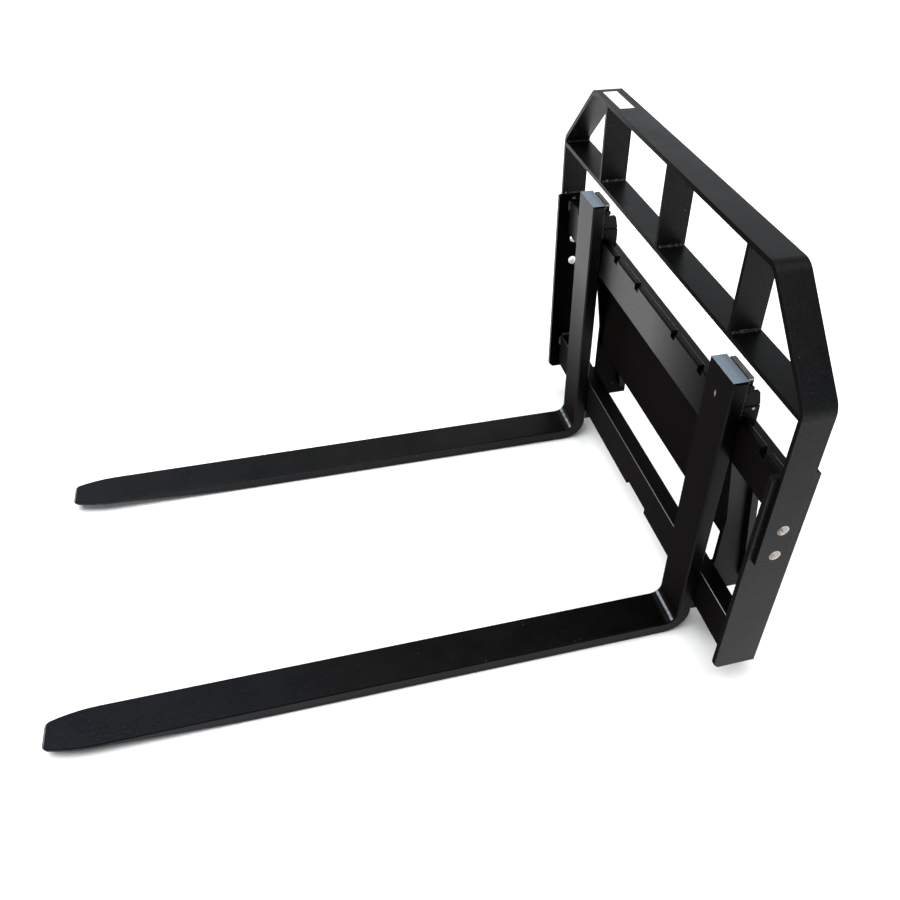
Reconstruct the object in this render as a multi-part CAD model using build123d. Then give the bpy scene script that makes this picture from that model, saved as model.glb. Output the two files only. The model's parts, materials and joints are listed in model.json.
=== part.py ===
from build123d import *
import math
import os

# Pallet fork attachment for a skid-steer loader: a welded carriage with a bent guard
# hoop outside its end plates, and two forged forks that hook over the carriage and slide along it.
#
# Working frame, in mm: X across the carriage, Z up from the ground, Y = 0 on the carriage front
# face with the blades pointing to -Y. Every part is moved by ORIGIN_SHIFT in Y when it is saved,
# so that the saved origin is the centre of the footprint on the ground.

# Forks
FORK_X = 375.0          # centre of each fork from the middle of the carriage
FORK_W = 100.0          # width of blade and shank
FORK_T = 32.0           # thickness of blade and shank
FORK_GAP = 3.0          # running gap between shank and carriage face
SHANK_TOP = 694.0
TIP_Y = -1405.0
HEEL_R = 58.0           # outer radius of the forged heel
TAPER_Y = -900.0        # the underside starts to rise here
WEDGE_Y = (-1120.0, -1290.0)  # straight stretch of the rise
WEDGE_Z = (7.8, 19.9)
TIP_RISE = 21.0
EDGE_CUT = 3.0          # chamfer along the long edges
TIP_CUT = 6.0           # worn bevel across the top of the tip
NOSE_L = 105.0          # the flanks start to curve in this far from the tip
NOSE_IN = 14.0          # and have come in this far where the rounded corner starts
NOSE_CORNER = 13.0

# Carriage bars
CARRIAGE_HALF = 586.0   # to the inner faces of the end plates
BAR_T = 16.0            # thickness that the hooks grip
UPPER_Z = (510.0, 604.0)
LOWER_Z = (88.0, 187.0)
LOWER_DEPTH = 38.0
NOTCH_X = (105.0, 240.0, 375.0, 510.0)
NOTCH_W = 20.0
NOTCH_DEPTH = 14.0
CUTOUT_X = (-4.0, 116.0)  # gap in the lower lip where a fork lifts off
CUTOUT_H = 15.0

# End plates and the guard hoop outside them
PLATE_T = 12.0
PLATE_Y = (-31.0, 65.0)
PLATE_Z = (79.0, 615.0)
HOOP_T = 10.0
HOOP_Y = (-19.0, 45.0)
HOOP_HALF = CARRIAGE_HALF + PLATE_T + HOOP_T
HOOP_FOOT_Z = 408.0
HOOP_KNEE_Z = 759.0
HOOP_TOP_Z = 926.0
HOOP_TOP_HALF = 430.0
HOOP_BEND_R = 40.0
CROSS_TOP_Z = 749.0
CROSS_HALF = 597.0
LABEL_X = (-400.0, -290.0)
LABEL_Y = (-8.0, 25.0)
POST_X = 341.5
POST_T = 9.0
BOLT_HOLE_R = 11.0
BOLT_HOLE_YZ = ((18.0, 427.0), (18.0, 492.0))

# Quick-attach side, behind the bars
GUSSET_X = (388.5, 401.0)
BACK_PLATE_Y = (50.0, 58.0)
BACK_PLATE_Z = (263.0, 556.0)
LIP_Z = 566.0
LIP_T = 10.0
COUPLER_HALF = 560.0    # lip and feet stop short of the end plates
GUSSET_REAR = ((54.0, 556.0), (117.0, 125.0))  # slanted rear edge, in Y-Z
RIB_T = 16.0
SLOT_X = 511.0          # lock pins of the loader coupler
SLOT_Y = 72.0
FOOT_TOP_Z = 172.0
FOOT_T = (8.0, 9.0)     # thickness of the welded part and of the sloping part
REAR_Y = 141.0

# Hooks and latch on each fork
HOOK_HALF = 40.0
HOOK_SEAM_Z = 632.0
ROOF_GAP = 1.1          # between the hook and the top of the upper bar
BRACKET_TOP_Z = 664.0
BRACKET_WALL = 6.0
BRACKET_BASE = 8.0
PIN_Y = 8.0
PIN_R = 6.5
PIN_CLEARANCE = 0.05
PIN_Z = (605.2, 677.2)
COLLAR_Z = (617.0, 620.0)
COLLAR_R = 9.0
SPRING_BORE_R = 10.0
SPRING_BORE_Z = 609.0
DOWEL_YZ = (24.0, 625.0)
DOWEL_R = 3.0

# Flip lever: upright it holds the pin raised on its two toes, flipped back it lets the pin drop
PIVOT_R = 2.5
PIVOT_HIGH = 9.8        # pivot above the bracket with the lever upright
PIVOT_LOW = 3.2         # and with the lever flat
PIVOT_Z = BRACKET_TOP_Z + PIVOT_HIGH
TOE_GAP = 0.3
LEVER_X = (34.5, 38.5)
LEVER_FRONT = 5.0       # from the pivot to the front edge of each leg
LEVER_TOP_Z = 694.0
LEVER_T = 2.5
FOLD_FRONT = 8.0        # from the pivot to the front of the web's folded edge
FOLD_Z = 682.0          # lower end of that fold

ORIGIN_SHIFT = -(TIP_Y + REAR_Y) / 2


def box(x, y, z):
    """Box between pairs of X, Y and Z limits."""
    size = [b - a for a, b in (x, y, z)]
    centre = [(a + b) / 2 for a, b in (x, y, z)]
    return Pos(*centre) * Box(*size)


def side_profile(points, x):
    """Prism with an outline in Y-Z, between two X limits."""
    face = make_face(Polyline(*points, close=True))
    return extrude(Plane.YZ.offset(x[0]) * face, x[1] - x[0])


def mirrored(part):
    """The same part on the other side of the middle."""
    return mirror(part, Plane.YZ)


def cross_hole(radius, y, z, x):
    """Cylinder along X between two X limits."""
    length = x[1] - x[0]
    return Pos((x[0] + x[1]) / 2, y, z) * Cylinder(radius, length, rotation=(0, 90, 0))


def upper_bar():
    z0, z1 = UPPER_Z
    outline = [(0, z0), (0, z1 - 3), (3, z1), (BAR_T - 1.5, z1), (BAR_T, z1 - 1.5), (BAR_T, z0)]
    bar = side_profile(outline, (-CARRIAGE_HALF, CARRIAGE_HALF))
    for x in NOTCH_X:
        for centre in (-x, x):
            limits = (centre - NOTCH_W / 2, centre + NOTCH_W / 2)
            bar -= box(limits, (-1, BAR_T + 1), (z1 - NOTCH_DEPTH, z1 + 1))
    return bar


def lower_bar():
    z0, z1 = LOWER_Z
    outline = [(0, z0), (0, z1 - 2), (2, z1), (LOWER_DEPTH, z1), (LOWER_DEPTH, z0 + 37),
               (BAR_T, z0 + 22), (BAR_T, z0)]
    bar = side_profile(outline, (-CARRIAGE_HALF, CARRIAGE_HALF))
    return bar - box(CUTOUT_X, (-1, BAR_T + 1), (z0 - 1, z0 + CUTOUT_H))


def end_plate():
    (y0, y1), (z0, z1) = PLATE_Y, PLATE_Z
    cut = 10.0
    outline = [(y0 + cut, z0), (y0, z0 + cut), (y0, z1 - 4), (y0 + 4, z1), (y1 - 4, z1),
               (y1, z1 - 4), (y1, z0)]
    plate = side_profile(outline, (CARRIAGE_HALF, CARRIAGE_HALF + PLATE_T))
    for y, z in BOLT_HOLE_YZ:
        plate -= cross_hole(BOLT_HOLE_R, y, z, (CARRIAGE_HALF - 1, HOOP_HALF))
    return plate


def inset(points, distance):
    """Open polyline moved sideways to its right by a distance, with mitred corners."""
    lines = []
    for (x0, z0), (x1, z1) in zip(points, points[1:]):
        length = math.hypot(x1 - x0, z1 - z0)
        nx, nz = (z1 - z0) / length, -(x1 - x0) / length
        lines.append((x0 + nx * distance, z0 + nz * distance, x1 - x0, z1 - z0))
    moved = [lines[0][:2]]
    for (ax, az, adx, adz), (bx, bz, bdx, bdz) in zip(lines, lines[1:]):
        t = ((bx - ax) * bdz - (bz - az) * bdx) / (adx * bdz - adz * bdx)
        moved.append((ax + adx * t, az + adz * t))
    last = lines[-1]
    moved.append((last[0] + last[2], last[1] + last[3]))
    return moved


def hoop_region(points, radius):
    """Area below a hoop outline with rounded bends, closed along its feet."""
    path = FilletPolyline(*points, radius=radius)
    return make_face(path + Line(points[-1], points[0]))


def guard_hoop():
    outer = [(-HOOP_HALF, HOOP_FOOT_Z), (-HOOP_HALF, HOOP_KNEE_Z), (-HOOP_TOP_HALF, HOOP_TOP_Z),
             (HOOP_TOP_HALF, HOOP_TOP_Z), (HOOP_HALF, HOOP_KNEE_Z), (HOOP_HALF, HOOP_FOOT_Z)]
    inner = inset(outer, HOOP_T)
    face = hoop_region(outer, HOOP_BEND_R) - hoop_region(inner, HOOP_BEND_R - HOOP_T)
    hoop = extrude(Plane.XZ.offset(-HOOP_Y[1]) * face, HOOP_Y[1] - HOOP_Y[0])
    for y, z in BOLT_HOLE_YZ:
        hoop -= cross_hole(BOLT_HOLE_R, y, z, (-HOOP_HALF - 1, HOOP_HALF + 1))
    return hoop


def cross_bar():
    return box((-CROSS_HALF, CROSS_HALF), HOOP_Y, (CROSS_TOP_Z - HOOP_T, CROSS_TOP_Z))


def guard_post(x):
    return box((x - POST_T / 2, x + POST_T / 2), HOOP_Y, (CROSS_TOP_Z, HOOP_TOP_Z - HOOP_T))


def blank_label():
    return box(LABEL_X, LABEL_Y, (HOOP_TOP_Z, HOOP_TOP_Z + 0.5))


def gusset():
    """Upright behind the bars; it steps forward to meet the back of the lower bar."""
    front, base = 43.0, 94.0
    z_bar = LOWER_Z[1]
    outline = [(front, base), (front, 120), (LOWER_DEPTH, 125), (LOWER_DEPTH, z_bar), (front, z_bar),
               (front, 323), (BAR_T, 505), (BAR_T, LIP_Z - LIP_T), *GUSSET_REAR,
               (REAR_Y, 125), (REAR_Y, base)]
    return side_profile(outline, GUSSET_X)


def gusset_rib():
    """Flat bar along the slanted rear edge of a gusset."""
    (y0, z0), (y1, z1) = GUSSET_REAR
    top = 500.0
    y_top = y0 + (y1 - y0) * (top - z0) / (z1 - z0)
    outline = [(y_top, top), (y1, z1), (y1 + RIB_T, z1), (y_top + RIB_T, top)]
    middle = sum(GUSSET_X) / 2
    return side_profile(outline, (middle - 22, middle + 22))


def back_plate():
    return box((-GUSSET_X[0], GUSSET_X[0]), BACK_PLATE_Y, BACK_PLATE_Z)


def quick_attach_lip():
    """Bent plate that the upper edge of the loader coupler lifts under."""
    outline = [(BAR_T, LIP_Z), (62, LIP_Z), (97, 526), (89.5, 519), (70, 541.3), (70, LIP_Z - LIP_T),
               (BAR_T, LIP_Z - LIP_T)]
    return side_profile(outline, (-COUPLER_HALF, COUPLER_HALF))


def quick_attach_foot():
    """Lower flange at 45 degrees, with the slot for one lock pin of the loader coupler."""
    leg_t, slope_t = FOOT_T
    knee, reach = 136.0, 52.0
    y = LOWER_DEPTH + leg_t
    drop = slope_t * math.sqrt(0.5)
    outline = [(LOWER_DEPTH, FOOT_TOP_Z), (y, FOOT_TOP_Z), (y, knee), (y + reach, knee - reach),
               (y + reach - drop, knee - reach - drop), (LOWER_DEPTH, knee - 2 * drop + leg_t)]
    foot = side_profile(outline, (GUSSET_X[1], COUPLER_HALF))
    slot = Pos(SLOT_X, SLOT_Y, 110) * extrude(SlotOverall(76, 28), 80, both=True)
    return foot - slot


def fork():
    """Forged fork: shank, heel bent at constant thickness, and a blade that thins to its tip."""
    rear = -FORK_GAP
    front = rear - FORK_T
    bend_y = rear - HEEL_R
    inner_r = HEEL_R - FORK_T
    mid = math.sqrt(0.5)
    side = [
        Line((rear, SHANK_TOP), (rear, HEEL_R)),
        ThreePointArc((rear, HEEL_R), (bend_y + HEEL_R * mid, HEEL_R - HEEL_R * mid), (bend_y, 0)),
        Line((bend_y, 0), (TAPER_Y, 0)),
        TangentArc((TAPER_Y, 0), (WEDGE_Y[0], WEDGE_Z[0]), tangent=(-1, 0)),
        Line((WEDGE_Y[0], WEDGE_Z[0]), (WEDGE_Y[1], WEDGE_Z[1])),
        Line((WEDGE_Y[1], WEDGE_Z[1]), (TIP_Y, TIP_RISE)),
        Line((TIP_Y, TIP_RISE), (TIP_Y, FORK_T - TIP_CUT)),
        Line((TIP_Y, FORK_T - TIP_CUT), (TIP_Y + TIP_CUT, FORK_T)),
        Line((TIP_Y + TIP_CUT, FORK_T), (bend_y, FORK_T)),
        ThreePointArc((bend_y, FORK_T), (bend_y + inner_r * mid, HEEL_R - inner_r * mid),
                      (front, HEEL_R)),
        Line((front, HEEL_R), (front, SHANK_TOP)),
        Line((front, SHANK_TOP), (rear, SHANK_TOP)),
    ]
    half = FORK_W / 2
    body = extrude(Plane.YZ.offset(-half) * make_face(side), FORK_W)

    corner = (half - NOSE_IN, TIP_Y + NOSE_CORNER)
    turn = 2 * math.atan2(NOSE_IN, NOSE_L - NOSE_CORNER)
    end_x = half - 2 * NOSE_IN
    plan = [
        Line((half, 10), (half, TIP_Y + NOSE_L)),
        TangentArc((half, TIP_Y + NOSE_L), corner, tangent=(0, -1)),
        TangentArc(corner, (end_x, TIP_Y), tangent=(-math.sin(turn), -math.cos(turn))),
        Line((end_x, TIP_Y), (0, TIP_Y)),
    ]
    right = make_face(plan + [Line((0, TIP_Y), (0, 10)), Line((0, 10), (half, 10))])
    outline = right + mirror(right, Plane.YZ)
    body &= Pos(0, 0, -1) * extrude(outline, SHANK_TOP + 2)

    flank_edges = [e for e in body.edges() if abs(abs(e.center().X) - half) < 0.01]
    return chamfer(flank_edges, EDGE_CUT)


def groove_edges(part, z):
    """Edges at a height, apart from the one against the shank."""
    return [e for e in part.edges() if abs(e.center().Z - z) < 0.01
            and abs(e.center().Y + FORK_GAP) > 0.1 and e.geom_type == GeomType.LINE]


def top_hook():
    """Block that rests over the upper bar, bored for the latch pin and its spring."""
    rear = -FORK_GAP
    z0, z1 = UPPER_Z[1] + ROOF_GAP, HOOK_SEAM_Z
    hook = side_profile([(rear, z0), (rear, z1), (37, z1), (38, 612), (38, z0)], (-HOOK_HALF, HOOK_HALF))
    hook = chamfer(groove_edges(hook, z1), 2)
    hook -= Pos(0, PIN_Y, z1) * Cylinder(PIN_R + PIN_CLEARANCE, 100)
    depth = z1 - SPRING_BORE_Z
    hook -= Pos(0, PIN_Y, z1 - depth / 2) * Cylinder(SPRING_BORE_R, depth)
    return hook - hook_dowel()


def hook_tongue():
    """Plate under the block that keeps the fork on the upper bar from behind."""
    top = UPPER_Z[1] + ROOF_GAP
    outline = [(BAR_T + 1, top), (38, top), (38, 588), (34, 579), (22, 578), (BAR_T + 1, 583)]
    return side_profile(outline, (-HOOK_HALF, HOOK_HALF))


def hook_dowel():
    """Zinc-plated pin in the side of the hook."""
    dowel = cross_hole(DOWEL_R, *DOWEL_YZ, (HOOK_HALF - 13, HOOK_HALF + 1))
    return chamfer(dowel.edges().sort_by(Axis.X)[-1], 0.6)


def latch_bracket():
    """Bracket on the hook, open on top and behind; the lever's toes stand on its side walls."""
    rear = -FORK_GAP
    z0, z1 = HOOK_SEAM_Z, BRACKET_TOP_Z
    outline = [(rear, z0), (rear, z1), (27, z1), (30, z1 - 3), (37, z0)]
    block = side_profile(outline, (-HOOK_HALF, HOOK_HALF))
    block = chamfer(groove_edges(block, z0), 1.5)
    inner = HOOK_HALF - BRACKET_WALL
    block -= box((-inner, inner), (PIN_Y - PIN_R - 0.5, 50), (z0 + BRACKET_BASE, z1 + 1))
    return block - Pos(0, PIN_Y, z0) * Cylinder(PIN_R + PIN_CLEARANCE, 100)


def latch_spring():
    """Compression spring that pushes the pin's collar down, drawn compressed."""
    wire, turns = 1.5, 4
    low, high = COLLAR_Z[1] + wire / 2 + 0.3, HOOK_SEAM_Z - wire / 2 - 0.2
    radius = SPRING_BORE_R - wire / 2 - 0.4
    path = Helix((high - low) / turns, high - low, radius)
    start = path @ 0
    section = Plane(origin=start, z_dir=path % 0) * Circle(wire / 2)
    return Pos(0, PIN_Y, low) * sweep(section, path, is_frenet=True)


def bottom_hook():
    """Hook that grips the lower lip of the lower bar from underneath."""
    rear = -FORK_GAP
    under = LOWER_Z[0] - 0.5
    outline = [(rear, HEEL_R), (rear, under), (BAR_T + 1.5, under), (BAR_T + 1.5, 106), (34, 106),
               (38, 102), (38, 68), (28, HEEL_R)]
    return side_profile(outline, (-HOOK_HALF, HOOK_HALF))


def latch_pin():
    """Lock pin, drawn raised clear of the bar, with a tapered nose and a collar for its spring."""
    z0, z1 = PIN_Z
    pin = Pos(0, PIN_Y, (z0 + z1) / 2) * Cylinder(PIN_R, z1 - z0)
    pin = chamfer(pin.edges().sort_by(Axis.Z)[0], 2)
    pin = chamfer(pin.edges().sort_by(Axis.Z)[-1], 0.8)
    c0, c1 = COLLAR_Z
    pin += Pos(0, PIN_Y, (c0 + c1) / 2) * Cylinder(COLLAR_R, c1 - c0)
    return pin - cross_hole(PIVOT_R, PIN_Y, PIVOT_Z, (-PIN_R - 1, PIN_R + 1))


def lever_pivot():
    """Cross pin through the latch pin and both legs of the lever, with a head at each end."""
    start, end = HOOK_HALF + 0.4, HOOK_HALF + 2.9
    shaft = cross_hole(PIVOT_R, PIN_Y, PIVOT_Z, (-start, start))
    for x in ((start, end), (-end, -start)):
        shaft += cross_hole(2.4 * PIVOT_R, PIN_Y, PIVOT_Z, x)
    return shaft


def latch_lever():
    """Bent strip with two legs and the front edge of its web folded down.

    The toe of each leg is an involute cam."""
    drop = (PIVOT_HIGH - PIVOT_LOW) / (math.pi / 2)
    steps = 12
    toe = []
    for i in range(steps + 1):
        turn = math.pi / 2 * (1 - i / steps)
        reach = PIVOT_HIGH - drop * turn - TOE_GAP
        toe.append((PIN_Y + reach * math.sin(turn) - drop * math.cos(turn),
                    PIVOT_Z - reach * math.cos(turn) - drop * math.sin(turn)))
    front, rear = PIN_Y - LEVER_FRONT, PIN_Y + PIVOT_LOW - TOE_GAP
    fold = PIN_Y - FOLD_FRONT
    outline = [(fold, LEVER_TOP_Z), (rear, LEVER_TOP_Z), *toe, (front, PIVOT_Z - 8.6),
               (front, FOLD_Z), (fold, FOLD_Z)]
    inner, outer = LEVER_X
    lever = side_profile(outline, (-outer, outer))
    lever -= box((-inner, inner), (fold + LEVER_T, rear + 5), (PIVOT_Z - 20, LEVER_TOP_Z - LEVER_T))
    lever = fillet([e for e in lever.edges().filter_by(Axis.Y) if e.center().Z > LEVER_TOP_Z - 1], 2)
    return lever - cross_hole(PIVOT_R + PIN_CLEARANCE, PIN_Y, PIVOT_Z, (-outer - 1, outer + 1))


def save(name, part):
    export_step(Pos(0, ORIGIN_SHIFT, 0) * part, f"parts/{name}.step")


def main():
    os.makedirs("parts", exist_ok=True)

    sided = {
        "end_plate": end_plate(),
        "gusset": gusset(),
        "gusset_rib": gusset_rib(),
        "quick_attach_foot": quick_attach_foot(),
    }
    for name, part in sided.items():
        save(f"{name}_right", part)
        save(f"{name}_left", mirrored(part))

    save("upper_carriage_bar", upper_bar())
    save("lower_carriage_bar", lower_bar())
    save("back_plate", back_plate())
    save("quick_attach_lip", quick_attach_lip())
    save("guard_hoop", guard_hoop())
    save("guard_cross_bar", cross_bar())
    for name, x in (("left", -POST_X), ("centre", 0.0), ("right", POST_X)):
        save(f"guard_post_{name}", guard_post(x))
    save("blank_label", blank_label())

    fork_parts = {
        "fork": fork(),
        "top_hook": top_hook(),
        "hook_tongue": hook_tongue(),
        "hook_dowel": hook_dowel(),
        "latch_bracket": latch_bracket(),
        "bottom_hook": bottom_hook(),
        "latch_spring": latch_spring(),
        "latch_pin": latch_pin(),
        "lever_pivot": lever_pivot(),
        "latch_lever": latch_lever(),
    }
    for side, x in (("left", -FORK_X), ("right", FORK_X)):
        for name, part in fork_parts.items():
            save(f"{name}_{side}", Pos(x, 0, 0) * part)


main()
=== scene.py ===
import json
import math
import random

import bmesh
import bpy
from mathutils import Euler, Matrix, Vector

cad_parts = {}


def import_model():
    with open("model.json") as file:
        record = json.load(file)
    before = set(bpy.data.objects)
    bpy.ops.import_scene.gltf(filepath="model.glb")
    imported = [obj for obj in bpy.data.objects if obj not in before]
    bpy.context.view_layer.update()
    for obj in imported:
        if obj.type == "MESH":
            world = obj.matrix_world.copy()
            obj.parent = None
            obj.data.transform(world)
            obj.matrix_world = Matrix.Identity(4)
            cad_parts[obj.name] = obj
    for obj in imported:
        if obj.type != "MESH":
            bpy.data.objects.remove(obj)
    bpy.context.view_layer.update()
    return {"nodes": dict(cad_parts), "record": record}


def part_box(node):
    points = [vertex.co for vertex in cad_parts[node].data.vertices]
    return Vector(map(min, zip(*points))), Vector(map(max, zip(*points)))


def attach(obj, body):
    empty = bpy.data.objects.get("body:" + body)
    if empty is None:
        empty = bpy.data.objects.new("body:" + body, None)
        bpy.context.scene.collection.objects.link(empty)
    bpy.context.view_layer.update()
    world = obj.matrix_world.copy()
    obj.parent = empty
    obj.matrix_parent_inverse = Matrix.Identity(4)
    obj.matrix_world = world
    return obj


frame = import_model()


NODES = frame["nodes"]
MM = 0.001

# Camera, solved from the straight edges of the object
CAMERA_AT = (1.514, -0.136, 1.551)
CAMERA_TURN_DEG = (45.56, -1.50, 74.19)
LENS_MM = 33.7
SHIFT = (-0.075, 0.0866)


# ---------------------------------------------------------------- materials

class Nodes:
    """Short helper around one material's node tree."""

    def __init__(self, name):
        self.material = bpy.data.materials.new(name)
        self.material.use_nodes = True
        self.tree = self.material.node_tree
        self.shader = self.tree.nodes["Principled BSDF"]
        coordinates = self.add("ShaderNodeTexCoord").outputs
        self.place, self.normal = coordinates["Object"], coordinates["Normal"]

    def add(self, kind, **settings):
        node = self.tree.nodes.new(kind)
        for key, value in settings.items():
            setattr(node, key, value)
        return node

    def link(self, source, target):
        self.tree.links.new(source, target)

    def noise(self, scale, detail=3.0, rough=0.5, stretch=None):
        """Noise value in object space, optionally stretched along an axis."""
        node = self.add("ShaderNodeTexNoise")
        node.inputs["Scale"].default_value = scale
        node.inputs["Detail"].default_value = detail
        node.inputs["Roughness"].default_value = rough
        where = self.place
        if stretch:
            mapping = self.add("ShaderNodeMapping")
            mapping.inputs["Scale"].default_value = stretch
            self.link(where, mapping.inputs["Vector"])
            where = mapping.outputs["Vector"]
        self.link(where, node.inputs["Vector"])
        return node.outputs["Fac"]

    def ramp(self, value, *stops):
        """Colour ramp; each stop is (position, colour)."""
        node = self.add("ShaderNodeValToRGB")
        self.link(value, node.inputs["Fac"])
        elements = node.color_ramp.elements
        while len(elements) < len(stops):
            elements.new(0.5)
        for element, (position, colour) in zip(elements, stops):
            element.position = position
            if isinstance(colour, (int, float)):
                colour = (colour, colour, colour)
            element.color = (*colour, 1.0)
        return node.outputs["Color"]

    def mix(self, factor, a, b):
        """Colour mix of two sockets or colours."""
        node = self.add("ShaderNodeMix", data_type="RGBA")
        for socket, value in ((node.inputs["Factor"], factor), (node.inputs["A"], a),
                              (node.inputs["B"], b)):
            if isinstance(value, bpy.types.NodeSocket):
                self.link(value, socket)
            elif isinstance(value, (int, float)):
                socket.default_value = value
            else:
                socket.default_value = (*value, 1.0)
        return node.outputs[2]

    def bump(self, height, distance, strength=1.0, over=None):
        node = self.add("ShaderNodeBump")
        node.inputs["Distance"].default_value = distance
        node.inputs["Strength"].default_value = strength
        self.link(height, node.inputs["Height"])
        if over:
            self.link(over, node.inputs["Normal"])
        return node.outputs["Normal"]

    def scaled(self, value, factor):
        """A value times a plain number."""
        node = self.add("ShaderNodeMath", operation="MULTIPLY")
        self.link(value, node.inputs[0])
        node.inputs[1].default_value = factor
        return node.outputs[0]

    def times(self, a, b):
        node = self.add("ShaderNodeMath", operation="MULTIPLY")
        self.link(a, node.inputs[0])
        self.link(b, node.inputs[1])
        return node.outputs[0]

    def along(self, axis, low, high):
        """Where a point lies between two places on an axis of the CAD frame, 0 to 1."""
        split = self.add("ShaderNodeSeparateXYZ")
        self.link(self.place, split.inputs[0])
        node = self.add("ShaderNodeMapRange")
        node.inputs["From Min"].default_value = low
        node.inputs["From Max"].default_value = high
        self.link(split.outputs[axis], node.inputs["Value"])
        return node.outputs["Result"]

    def fade(self, axis, low, high, start, end):
        """A value that runs from start to end between two places on an axis."""
        return self.ramp(self.along(axis, low, high), (0.0, start), (1.0, end))

    def facing(self, direction, sharp=(0.80, 0.96)):
        """1 on faces of the part that look along a direction of its own, 0 elsewhere."""
        dot = self.add("ShaderNodeVectorMath", operation="DOT_PRODUCT")
        self.link(self.normal, dot.inputs[0])
        dot.inputs[1].default_value = direction
        return self.ramp(dot.outputs["Value"], (sharp[0], 0.0), (sharp[1], 1.0))

    def larger(self, a, b):
        node = self.add("ShaderNodeMath", operation="MAXIMUM")
        self.link(a, node.inputs[0])
        self.link(b, node.inputs[1])
        return node.outputs[0]

    def offset_length(self, centre, scale):
        """Distance from a point of the CAD frame, with each axis scaled first."""
        shift = self.add("ShaderNodeVectorMath", operation="SUBTRACT")
        self.link(self.place, shift.inputs[0])
        shift.inputs[1].default_value = centre
        stretch = self.add("ShaderNodeVectorMath", operation="MULTIPLY")
        self.link(shift.outputs[0], stretch.inputs[0])
        stretch.inputs[1].default_value = scale
        length = self.add("ShaderNodeVectorMath", operation="LENGTH")
        self.link(stretch.outputs[0], length.inputs[0])
        return length.outputs["Value"]

    def near_line(self, centre, radius):
        """1 within a radius of a line along X."""
        reach = self.offset_length(centre, (0.0, 1.0 / radius, 1.0 / radius))
        return self.ramp(reach, (0.985, 1.0), (1.0, 0.0))

    def spot(self, centre, half_size):
        """1 in the middle of an ellipsoid, fading to 0 at its edge."""
        reach = self.offset_length(centre, tuple(1.0 / v for v in half_size))
        return self.ramp(reach, (0.55, 1.0), (1.0, 0.0))

    def soft_edges(self, radius):
        node = self.add("ShaderNodeBevel", samples=4)
        node.inputs["Radius"].default_value = radius
        return node.outputs["Normal"]


def even(value):
    """A fade that stays at one value."""
    return "X", 0.0, 1.0, value, value


UP, FRONT = (0.0, 0.0, 1.0), (0.0, -1.0, 0.0)

# Colours of paint, linear; some are painted shade, painted reflection and painted sheen
COAT_DARK, COAT_LIGHT = (0.0027, 0.0028, 0.0031), (0.0056, 0.0059, 0.0066)
# A darker copy of the coat colours: painted shade for parts set back in shade.
SHADED_DARK, SHADED_LIGHT = (0.0008, 0.0008, 0.0009), (0.0018, 0.0018, 0.0020)
# Fork paint as a lit copy for the left fork and a darker shaded copy for the right fork: painted light
# and shade.
LIT_FORK_DARK, LIT_FORK_LIGHT = (0.0030, 0.0029, 0.0029), (0.0056, 0.0055, 0.0056)
SHADED_FORK_DARK, SHADED_FORK_LIGHT = (0.0022, 0.0020, 0.0019), (0.0042, 0.0040, 0.0039)
# Painted reflection: a brown tint on faces towards the blade tips.
FRONT_REFLECTION_BROWN = (0.0062, 0.0044, 0.0038)
# Painted sheen: the blades paler and bluish towards their tips.
TIP_SHEEN_BLUE = (0.0080, 0.0095, 0.0125)
WORN_BLUE = (0.42, 0.52, 0.62)
CHIP_GREY, CHIP_BRIGHT = (0.16, 0.16, 0.165), (0.42, 0.42, 0.41)

# Colours of bare metal; some are used for painted highlights and painted shade
HOLE_STEEL = (0.86, 0.82, 0.78)
# Painted highlight: the gleam along the upper front edges of the carriage bars, drawn as bare steel.
EDGE_GLEAM = (0.42, 0.46, 0.50)
# Painted highlight across the inner bend of each heel, drawn as bare steel.
BEND_HIGHLIGHT = (0.50, 0.55, 0.60)
PIN_STEEL = (0.42, 0.41, 0.40)
# Zinc of the lever's web, and the dark painted shade of its legs.
ZINC_GREY, LEG_SHADE_DARK = (0.40, 0.385, 0.355), (0.010, 0.010, 0.010)

# Roughness of glossier and duller places
SATIN, DULL, FORGED, FRESH = (0.30, 0.42), (0.42, 0.60), (0.24, 0.36), (0.16, 0.28)
PAINT_IOR = 1.46

# Places of wear, and of the painted sheen and painted highlight on the forks
PEBBLED_LENGTH = 0.75               # of each blade, from its tip
CHIP_Z = 0.638                      # height of the chip on the right shank
BEND_FACING = (0.0, -0.64, 0.77)    # where a painted highlight runs across the heel's bend

# Fades over the object: axis, low place, high place, value at each.
# Painted shade: a near-black metallic coat that hardly mirrors; 0 leaves the coat as it is and 1 shades
# it fully.
FRONT_ROUGH = ("X", -0.36, 0.15, 0.45, 1.0)
# Painted shade on the faces towards the blade tips, darker towards the right.
FRONT_PAINTED_SHADE = ("X", -0.36, 0.15, 0.0, 0.85)
# Painted shade on the faces that look up, darker towards the right.
TOP_PAINTED_SHADE = ("X", -0.55, 0.60, 0.15, 0.75)
# No painted shade; deep painted shade for parts set back in shade; an even dulling of the forks'
# reflections; the roughest gloss.
NO_PAINTED_SHADE, DEEP_PAINTED_SHADE, FORK_EVEN_DULLING, ROUGHEST = even(0.0), even(0.92), even(0.6), even(1.0)


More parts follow.
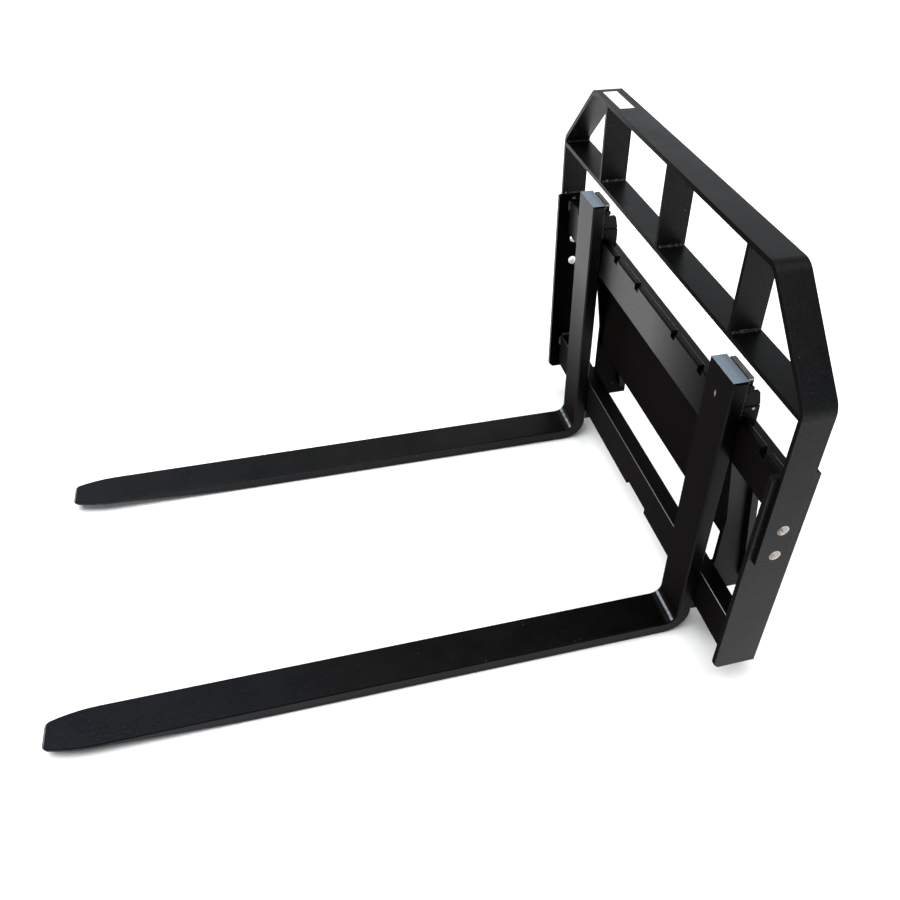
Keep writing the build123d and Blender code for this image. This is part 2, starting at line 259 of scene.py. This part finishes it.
def powder_coat(name, dark, light, rough, front_rough, peel_mm=0.035, peel_scale=420.0, wear=0.5,
                edge_mm=1.2, specular=0.18, front_sooty=FRONT_PAINTED_SHADE, sooty=NO_PAINTED_SHADE):
    """Black coating: uneven gloss, orange peel, rubbed patches and small chips, with painted shade and
    a painted reflection.

    rough holds the roughness of its glossier and its duller places. The faces towards the blade tips
    have front_rough instead, a fade, and a painted brown reflection tinting them. Painted shade, a
    near-black metallic that dulls the reflections, fades by the first shade argument on those faces and
    by the second on the others (for the forks that one is an even dulling), faces that look up also get
    the top painted-shade fade, and a random mottle of it lies over all."""
    n = Nodes(name)
    n.base = n.ramp(n.noise(7.0, 5.0, 0.6), (0.32, dark), (0.72, light))
    rub = n.ramp(n.noise(38.0, 6.0, 0.7), (0.60, 0.0), (0.74, 1.0))
    n.base = n.mix(n.scaled(rub, wear * 0.45), n.base, tuple(v * 2.4 for v in light))
    chips = n.ramp(n.noise(150.0, 2.0, 0.5), (0.755, 0.0), (0.77, 1.0))
    n.base = n.mix(n.scaled(chips, wear * 0.8), n.base, CHIP_GREY)
    gloss = n.ramp(n.noise(11.0, 6.0, 0.65), (0.30, rough[0]), (0.72, rough[1]))
    n.front = n.facing(FRONT)
    n.link(n.mix(n.front, gloss, n.fade(*front_rough)), n.shader.inputs["Roughness"])
    others = n.larger(n.fade(*sooty), n.times(n.facing(UP), n.fade(*TOP_PAINTED_SHADE)))
    mottle = n.ramp(n.noise(260.0, 5.0, 0.8), (0.42, 0.0), (0.62, 0.55))
    # Painted shade: a near-black metallic that darkens the reflections, over a random mottle.
    n.soot = n.larger(n.mix(n.front, others, n.fade(*front_sooty)), mottle)
    n.link(n.soot, n.shader.inputs["Metallic"])
    # Painted reflection: a brown tint on the faces towards the blade tips.
    n.base = n.mix(n.scaled(n.front, 0.75), n.base, FRONT_REFLECTION_BROWN)
    n.link(n.base, n.shader.inputs["Base Color"])
    peel = n.noise(peel_scale, 2.0, 0.45)
    wave = n.noise(24.0, 2.0, 0.4)
    normal = n.bump(wave, 0.5 * MM, 0.35, over=n.soft_edges(edge_mm * MM))
    n.surface = n.bump(peel, peel_mm * MM, 1.0, over=normal)
    n.link(n.surface, n.shader.inputs["Normal"])
    n.shader.inputs["IOR"].default_value = PAINT_IOR
    n.shader.inputs["Specular IOR Level"].default_value = specular
    return n


FRAME_BLACK = powder_coat("powder_coat_black", COAT_DARK, COAT_LIGHT, SATIN, FRONT_ROUGH).material
WELD_BLACK = powder_coat("weld_paint", COAT_DARK, COAT_LIGHT, FRESH, even(FRESH[1]), peel_mm=0.05,
                         edge_mm=0.4, wear=1.0, specular=0.5, front_sooty=NO_PAINTED_SHADE).material


def drilled_coat(name, sooty, dark, light):
    """The frame's coating, with bare steel on the walls of the bolt holes."""
    n = powder_coat(name, dark, light, SATIN, FRONT_ROUGH, sooty=sooty)
    walls = None
    for mount in frame["record"]["mounts"]:
        if mount["name"] != "side_bolts_right":
            continue
        (_, y, z), size = mount["pos_m"], mount["dims"]
        for step in (-0.5, 0.5):
            centre = (0.0, y, z + step * size["spacing_y_mm"] * MM)
            wall = n.near_line(centre, (size["hole_r_mm"] + 0.4) * MM)
            walls = wall if walls is None else n.larger(walls, wall)
    n.link(n.mix(walls, n.base, HOLE_STEEL), n.shader.inputs["Base Color"])
    n.link(n.larger(walls, n.soot), n.shader.inputs["Metallic"])
    return n.material


def painted_edge_gleam(n, node, at_left, at_right):
    """Painted highlight: a line of bare steel along the upper front edge of a bar, with its strength at
    the two ends.
    """
    (_, front, _), (_, _, top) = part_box(node)
    line = n.times(n.near_line((0.0, front, top), 1.6 * MM), n.fade("X", -0.5, 0.5, at_left, at_right))
    n.link(n.mix(line, n.base, EDGE_GLEAM), n.shader.inputs["Base Color"])
    n.link(n.larger(line, n.soot), n.shader.inputs["Metallic"])
    return n.material


# Lower bar: shaded copy of the coat, painted shade darker towards the right on its front and deep
# elsewhere, and a painted edge gleam stronger to the right.
LOWER_BAR = painted_edge_gleam(
    powder_coat("powder_coat_lower_bar", SHADED_DARK, SHADED_LIGHT, DULL, ROUGHEST,
                front_sooty=("X", -0.4, 0.3, 0.6, 0.95), sooty=DEEP_PAINTED_SHADE),
    "lower_carriage_bar", 0.25, 0.9)
# Upper bar: painted shade darker towards the right on its front and deep on its other faces, and a
# painted edge gleam.
UPPER_BAR = painted_edge_gleam(
    powder_coat("powder_coat_upper_bar", COAT_DARK, COAT_LIGHT, SATIN, ("X", 0.0, 0.35, 0.40, 1.0),
                specular=0.5, front_sooty=("X", 0.02, 0.32, 0.0, 1.0), sooty=DEEP_PAINTED_SHADE),
    "upper_carriage_bar", 0.5, 0.5)
# Shaded copy of the coat with deep painted shade, for the back plate and the left gusset.
SHADED_BLACK = powder_coat("powder_coat_shaded", SHADED_DARK, SHADED_LIGHT, DULL, ROUGHEST,
                         front_sooty=("X", -0.4, 0.3, 0.85, 0.95), sooty=DEEP_PAINTED_SHADE).material
# Right gusset: painted shade, darker towards the bottom.
GUSSET_BLACK = powder_coat("powder_coat_gusset", COAT_DARK, COAT_LIGHT, SATIN, FRONT_ROUGH,
                           specular=0.30, sooty=("Z", 0.30, 0.50, 0.95, 0.0)).material
DRILLED_BLACK = drilled_coat("powder_coat_drilled", NO_PAINTED_SHADE, COAT_DARK, COAT_LIGHT)
COATS = {
    "guard_hoop": DRILLED_BLACK,
    "end_plate_right": DRILLED_BLACK,
    # Left end plate: the shaded copy of the coat with deep painted shade.
    "end_plate_left": drilled_coat("powder_coat_drilled_shaded", DEEP_PAINTED_SHADE, SHADED_DARK, SHADED_LIGHT),
    "back_plate": SHADED_BLACK,
    "gusset_left": SHADED_BLACK,
    "gusset_right": GUSSET_BLACK,
    "lower_carriage_bar": LOWER_BAR,
    "upper_carriage_bar": UPPER_BAR,
}


def forged_paint(name, front_rough, dark, light, specular, front_sooty):
    """Thin black paint over forging scale: pits, a pebbled tip with a painted paler bluish sheen, steel
    worn through at the top of the shank, and a painted highlight drawn as bare steel across the bend of
    the heel."""
    n = powder_coat(name, dark, light, FORGED, front_rough, peel_mm=0.05, peel_scale=300.0,
                    wear=0.8, edge_mm=1.0, specular=specular, front_sooty=front_sooty,
                    sooty=FORK_EVEN_DULLING)
    (_, tip_y, _), (_, heel_y, shank_top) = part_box("fork_right")
    tip = n.along("Y", tip_y + PEBBLED_LENGTH, tip_y)
    # Painted sheen: paler and bluish towards the tip of the blade.
    n.base = n.mix(n.scaled(tip, 0.9), n.base, TIP_SHEEN_BLUE)
    pebbles = n.times(n.noise(170.0, 3.0, 0.55), tip)
    n.surface = n.bump(pebbles, 0.9 * MM, 0.8, over=n.surface)
    pits = n.ramp(n.noise(95.0, 4.0, 0.6), (0.28, 0.0), (0.40, 1.0))
    n.surface = n.bump(pits, 0.12 * MM, 0.7, over=n.surface)
    n.link(n.surface, n.shader.inputs["Normal"])
    top = n.ramp(n.along("Z", shank_top - 3.0 * MM, shank_top), (0.4, 0.0), (0.9, 1.0))
    worn = n.times(top, n.facing(UP))
    n.base = n.mix(worn, n.base, WORN_BLUE)
    # Painted highlight: a thin band of bare steel across the inner bend of the heel.
    heel = n.ramp(n.along("Y", heel_y - 0.10, heel_y - 0.02), (0.05, 0.0), (0.10, 1.0))
    bend = n.times(n.times(n.facing(BEND_FACING, (0.990, 0.999)), heel),
                   n.ramp(n.noise(70.0, 4.0, 0.6), (0.35, 0.2), (0.60, 0.9)))
    n.base = n.mix(bend, n.base, BEND_HIGHLIGHT)
    n.link(n.larger(n.soot, bend), n.shader.inputs["Metallic"])
    n.link(n.base, n.shader.inputs["Base Color"])
    return n


def chipped_paint():
    """The right fork's paint, with one bright chip high on the front of its shank."""
    # The shaded copy of the fork paint, with painted shade darker towards the bottom of the front.
    n = forged_paint("fork_paint_right", ROUGHEST, SHADED_FORK_DARK, SHADED_FORK_LIGHT, 0.15,
                     ("Z", 0.45, 0.65, 0.95, 0.80))
    (left, _, _), (right, back, _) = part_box("fork_right")
    centre = ((left + right) / 2 - 6.0 * MM, back, CHIP_Z)
    shape = n.spot(centre, (4.2 * MM, 60.0 * MM, 10.0 * MM))
    ragged = n.times(shape, n.ramp(n.noise(230.0, 4.0, 0.7), (0.40, 0.0), (0.46, 1.0)))
    n.link(n.mix(n.times(ragged, n.front), n.base, CHIP_BRIGHT), n.shader.inputs["Base Color"])
    return n.material


FORK_BLACK = {
    # The lit copy of the fork paint, with painted shade darker towards the bottom of the front.
    "left": forged_paint("fork_paint_left", ("Z", 0.08, 0.52, 1.0, 0.40), LIT_FORK_DARK, LIT_FORK_LIGHT,
                         0.32, ("Z", 0.08, 0.45, 0.92, 0.0)).material,
    "right": chipped_paint(),
}


def bare_metal(name, colour, rough, grain):
    """Machined metal with stains and fine lines; grain stretches the lines along the axes."""
    n = Nodes(name)
    stain = tuple(v * 0.72 for v in colour)
    n.base = n.ramp(n.noise(60.0, 5.0, 0.6), (0.3, stain), (0.7, colour))
    n.link(n.base, n.shader.inputs["Base Color"])
    n.shader.inputs["Metallic"].default_value = 1.0
    gloss = n.ramp(n.noise(180.0, 4.0, 0.6), (0.3, rough - 0.08), (0.7, rough + 0.1))
    n.link(gloss, n.shader.inputs["Roughness"])
    lines = n.noise(90.0, 3.0, 0.5, stretch=grain)
    n.link(n.bump(lines, 0.04 * MM, 0.6, over=n.soft_edges(0.5 * MM)), n.shader.inputs["Normal"])
    return n


BARE_STEEL = bare_metal("bare_steel", PIN_STEEL, 0.34, (1.0, 1.0, 12.0)).material


def lever_finish():
    """Dull zinc on the web of the latch lever; its legs get a painted shade of dark steel."""
    n = bare_metal("dull_zinc", ZINC_GREY, 0.42, (0.5, 6.0, 6.0))
    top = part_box("latch_lever_right")[1][2]
    web = n.ramp(n.along("Z", top - 6.0 * MM, top - 2.0 * MM), (0.2, 0.0), (0.8, 1.0))
    # Painted shade: the legs below the web dark.
    n.link(n.mix(web, LEG_SHADE_DARK, n.base), n.shader.inputs["Base Color"])
    return n.material


ZINC = lever_finish()


def vinyl():
    """White label film, slightly soiled and not quite flat."""
    n = Nodes("label_vinyl")
    base = n.ramp(n.noise(45.0, 5.0, 0.6), (0.35, (0.80, 0.80, 0.79)), (0.7, (0.88, 0.88, 0.87)))
    n.link(base, n.shader.inputs["Base Color"])
    n.link(n.ramp(n.noise(80.0), (0.3, 0.34), (0.7, 0.46)), n.shader.inputs["Roughness"])
    n.link(n.bump(n.noise(60.0, 2.0), 0.1 * MM, 0.5), n.shader.inputs["Normal"])
    return n.material


LABEL = vinyl()

SLOT_MATERIAL = {"frame_black": FRAME_BLACK, "bare_steel": BARE_STEEL, "handle_zinc": ZINC,
                 "label": LABEL}
# Pieces that take the fork's paint; the left dowel is dark while the right one stays bare steel.
TAKE_FORK_PAINT = ("lever_pivot_left", "lever_pivot_right", "hook_dowel_left")
for part in frame["record"]["subparts"]:
    slot = part["material_slot"]
    side = part["node"].rpartition("_")[2]
    materials = NODES[part["node"]].data.materials
    materials.clear()
    if part["node"] in COATS:
        materials.append(COATS[part["node"]])
    elif slot == "fork_black" or part["node"] in TAKE_FORK_PAINT:
        materials.append(FORK_BLACK[side])
    else:
        materials.append(SLOT_MATERIAL[slot])


# ---------------------------------------------------------------- weld beads

RIPPLE_MM = 3.2         # length of the shortest ripple
RIPPLE_MORE_MM = 0.6    # and how much longer a bead's ripples can be
ROW_MM = 0.9            # spacing of the rows of points along a bead
AROUND = 7              # points across the visible side of a bead
ROOT_MM = 0.8           # how far the hidden root reaches into the corner


def bead(name, body, start, end, side_a, side_b, size=0.0052, seed=0):
    """Fillet weld from start to end in a corner, as overlapping ripples of uneven size.

    side_a and side_b point from the corner along the two plates that it joins."""
    rng = random.Random(seed)
    start, end = Vector(start), Vector(end)
    side_a, side_b = Vector(side_a).normalized(), Vector(side_b).normalized()
    along = end - start
    length = along.length
    rows = max(8, int(length / (ROW_MM * MM)))
    ripple = (RIPPLE_MM + rng.random() * RIPPLE_MORE_MM) * MM
    lumps = [rng.uniform(0.62, 1.12) for _ in range(int(length / ripple) + 3)]
    mesh = bpy.data.meshes.new(name)
    bm = bmesh.new()
    grid = []
    for i in range(rows + 1):
        run = i / rows * length
        done, phase = divmod(run / ripple, 1.0)
        crest = 0.84 + 0.24 * math.sqrt(max(0.0, 1.0 - (2.0 * phase - 1.0) ** 2))
        lump = lumps[int(done)] * (1.0 - phase) + lumps[int(done) + 1] * phase
        ends = min(1.0, 0.35 + min(run, length - run) / (size * 0.9))
        wander = 1.0 + 0.07 * math.sin(run * 310.0 + seed) + 0.05 * math.sin(run * 97.0 + seed * 2)
        leg = size * crest * ends * wander * lump
        middle = start + along * (i / rows)
        row = []
        for j in range(AROUND):
            across = j / (AROUND - 1)
            angle = math.radians(-8.0 + 106.0 * across)
            reach = leg * (0.80 + 0.20 * abs(math.cos(math.radians(180.0 * across))))
            lag = (0.5 - abs(across - 0.5)) * ripple * 0.9
            row.append(bm.verts.new(middle + side_a * (reach * math.cos(angle))
                                    + side_b * (reach * math.sin(angle))
                                    + along.normalized() * lag * ends))
        row.append(bm.verts.new(middle - (side_a + side_b) * (ROOT_MM * MM)))
        grid.append(row)
    for a, b in zip(grid, grid[1:]):
        for j in range(AROUND + 1):
            k = (j + 1) % (AROUND + 1)
            bm.faces.new((a[j], a[k], b[k], b[j]))
    bm.faces.new(grid[0][::-1])
    bm.faces.new(grid[-1])
    bmesh.ops.recalc_face_normals(bm, faces=bm.faces)
    for face in bm.faces:
        face.smooth = True
    bm.to_mesh(mesh)
    bm.free()
    piece = bpy.data.objects.new(name, mesh)
    bpy.context.scene.collection.objects.link(piece)
    mesh.materials.append(WELD_BLACK)
    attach(piece, body)


X, Y, Z = Vector((1, 0, 0)), Vector((0, 1, 0)), Vector((0, 0, 1))


def guard_welds():
    """Posts to the bars above and below them, and the cross bar's ends to the hoop."""
    (_, y0, under), (_, y1, top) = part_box("guard_cross_bar")
    y0, y1 = y0 + 0.003, y1 - 0.003
    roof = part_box("guard_post_centre")[1][2]
    for i, side in enumerate(("left", "centre", "right")):
        (x0, _, _), (x1, _, _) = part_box(f"guard_post_{side}")
        for x, away, tag in ((x0, -X, "a"), (x1, X, "b")):
            bead(f"weld_post_foot_{side}_{tag}", "carriage", (x, y0, top), (x, y1, top), away, Z,
                 seed=10 + i)
            bead(f"weld_post_head_{side}_{tag}", "carriage", (x, y1, roof), (x, y0, roof), away, -Z,
                 seed=20 + i)
    (x0, _, _), (x1, _, _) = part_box("guard_cross_bar")
    for x, away, tag in ((x0, X, "left"), (x1, -X, "right")):
        bead(f"weld_cross_over_{tag}", "carriage", (x, y0, top), (x, y1, top), away, Z, 0.0065, 31)
        bead(f"weld_cross_under_{tag}", "carriage", (x, y1, under), (x, y0, under), away, -Z,
             0.006, 33)


def frame_welds():
    """End plates to bars and hoop, and gussets to what they carry."""
    plate_low, plate_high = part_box("end_plate_right")
    upper_low, upper_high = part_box("upper_carriage_bar")
    lower_low, lower_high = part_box("lower_carriage_bar")
    hoop_low, hoop_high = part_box("guard_hoop")
    face = upper_low[1]
    for sign, tag in ((-1, "left"), (1, "right")):
        inner, outer, toward = sign * plate_low[0], sign * plate_high[0], -sign * X
        for bar, high in (("upper", upper_high[2]), ("lower", lower_high[2])):
            bead(f"weld_{bar}_bar_front_{tag}", "carriage", (inner, face, high - 0.034),
                 (inner, face, high - 0.004), toward, -Y, 0.0055, 41)
        bead(f"weld_upper_bar_top_{tag}", "carriage", (inner, face + 0.003, upper_high[2]),
             (inner, upper_high[1], upper_high[2]), toward, Z, 0.006, 43)
        bead(f"weld_lower_bar_top_{tag}", "carriage", (inner, face + 0.003, lower_high[2]),
             (inner, lower_high[1] - 0.002, lower_high[2]), toward, Z, 0.007, 44)
        bead(f"weld_plate_top_{tag}", "carriage", (outer, hoop_low[1] + 0.004, plate_high[2]),
             (outer, hoop_high[1] - 0.004, plate_high[2]), toward, Z, 0.006, 45)
        bead(f"weld_hoop_foot_{tag}", "carriage", (outer, hoop_high[1] - 0.004, hoop_low[2]),
             (outer, hoop_low[1] + 0.004, hoop_low[2]), -toward, -Z, 0.006, 46)
        gusset_low, gusset_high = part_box(f"gusset_{tag}")
        for x, away, edge in ((gusset_low[0], -X, "a"), (gusset_high[0], X, "b")):
            bead(f"weld_gusset_foot_{tag}_{edge}", "carriage", (x, lower_high[1], lower_low[2] + 0.04),
                 (x, lower_high[1], lower_high[2] - 0.003), away, Y, 0.006, 47)
            bead(f"weld_gusset_head_{tag}_{edge}", "carriage", (x, upper_high[1], upper_low[2] + 0.003),
                 (x, upper_high[1], upper_high[2] - 0.05), away, Y, 0.006, 48)


def fork_welds():
    """Hooks and latch bracket to the back of each shank."""
    for tag in ("left", "right"):
        body = f"fork_{tag}"
        for part, size in (("top_hook", 0.004), ("latch_bracket", 0.004), ("bottom_hook", 0.0055)):
            (x0, y, z0), (x1, _, z1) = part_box(f"{part}_{tag}")
            for i, (x, away) in enumerate(((x0, -X), (x1, X))):
                bead(f"weld_{part}_{tag}_{'ab'[i]}", body, (x, y, z0 + 0.003), (x, y, z1 - 0.003),
                     away, Y, size, 51 + i)


guard_welds()
frame_welds()
fork_welds()


# ---------------------------------------------------------------- stage, light and camera

FLOOR_HALF = 30.0
FLOOR_Z = -0.0008        # just under the blades
# Brightness of the surroundings by degrees above the horizon
SKY = ((0.0, 0.78), (20.0, 0.72), (32.0, 0.58), (42.0, 0.34), (55.0, 0.20), (90.0, 0.30))


def floor():
    """Large pale matt floor."""
    mesh = bpy.data.meshes.new("floor")
    bm = bmesh.new()
    corners = [bm.verts.new((x * FLOOR_HALF, y * FLOOR_HALF, FLOOR_Z))
               for x, y in ((-1, -1), (1, -1), (1, 1), (-1, 1))]
    bm.faces.new(corners)
    bm.to_mesh(mesh)
    bm.free()
    plane = bpy.data.objects.new("floor", mesh)
    bpy.context.scene.collection.objects.link(plane)
    n = Nodes("pale_floor")
    tone = n.ramp(n.noise(0.8, 2.0), (0.3, (0.90, 0.90, 0.90)), (0.7, (0.93, 0.93, 0.93)))
    n.link(tone, n.shader.inputs["Base Color"])
    n.shader.inputs["Roughness"].default_value = 0.9
    n.shader.inputs["Specular IOR Level"].default_value = 0.1
    mesh.materials.append(n.material)


def world():
    """Studio surroundings, pale near the horizon and dim higher up."""
    sky = bpy.data.worlds.new("studio")
    bpy.context.scene.world = sky
    sky.use_nodes = True
    tree = sky.node_tree
    background = tree.nodes["Background"]
    split = tree.nodes.new("ShaderNodeSeparateXYZ")
    tree.links.new(tree.nodes.new("ShaderNodeTexCoord").outputs["Generated"], split.inputs[0])
    ramp = tree.nodes.new("ShaderNodeValToRGB")
    tree.links.new(split.outputs["Z"], ramp.inputs["Fac"])
    elements = ramp.color_ramp.elements
    while len(elements) < len(SKY):
        elements.new(0.5)
    for element, (elevation, level) in zip(elements, SKY):
        element.position = max(0.0, math.sin(math.radians(elevation)))
        element.color = (level * 0.95, level * 0.98, level, 1.0)
    tree.links.new(ramp.outputs["Color"], background.inputs["Color"])


def camera():
    """Camera at the photographer's place."""
    data = bpy.data.cameras.new("camera")
    data.sensor_width = 36.0
    data.lens = LENS_MM
    data.shift_x, data.shift_y = SHIFT
    data.clip_end = 100.0
    eye = bpy.data.objects.new("camera", data)
    eye.location = CAMERA_AT
    eye.rotation_euler = Euler([math.radians(v) for v in CAMERA_TURN_DEG], "XYZ")
    bpy.context.scene.collection.objects.link(eye)
    bpy.context.scene.camera = eye


def sun(name, toward, strength, angle_deg):
    """Even soft light that comes from one direction."""
    light = bpy.data.lights.new(name, "SUN")
    light.energy = strength
    light.angle = math.radians(angle_deg)
    lamp = bpy.data.objects.new(name, light)
    lamp.rotation_euler = Vector(toward).to_track_quat("-Z", "Y").to_euler()
    bpy.context.scene.collection.objects.link(lamp)


floor()
world()
sun("overhead", (0.0, 0.1, -1.0), 4.6, 62.0)
camera()
bpy.context.scene.view_settings.view_transform = "Standard"
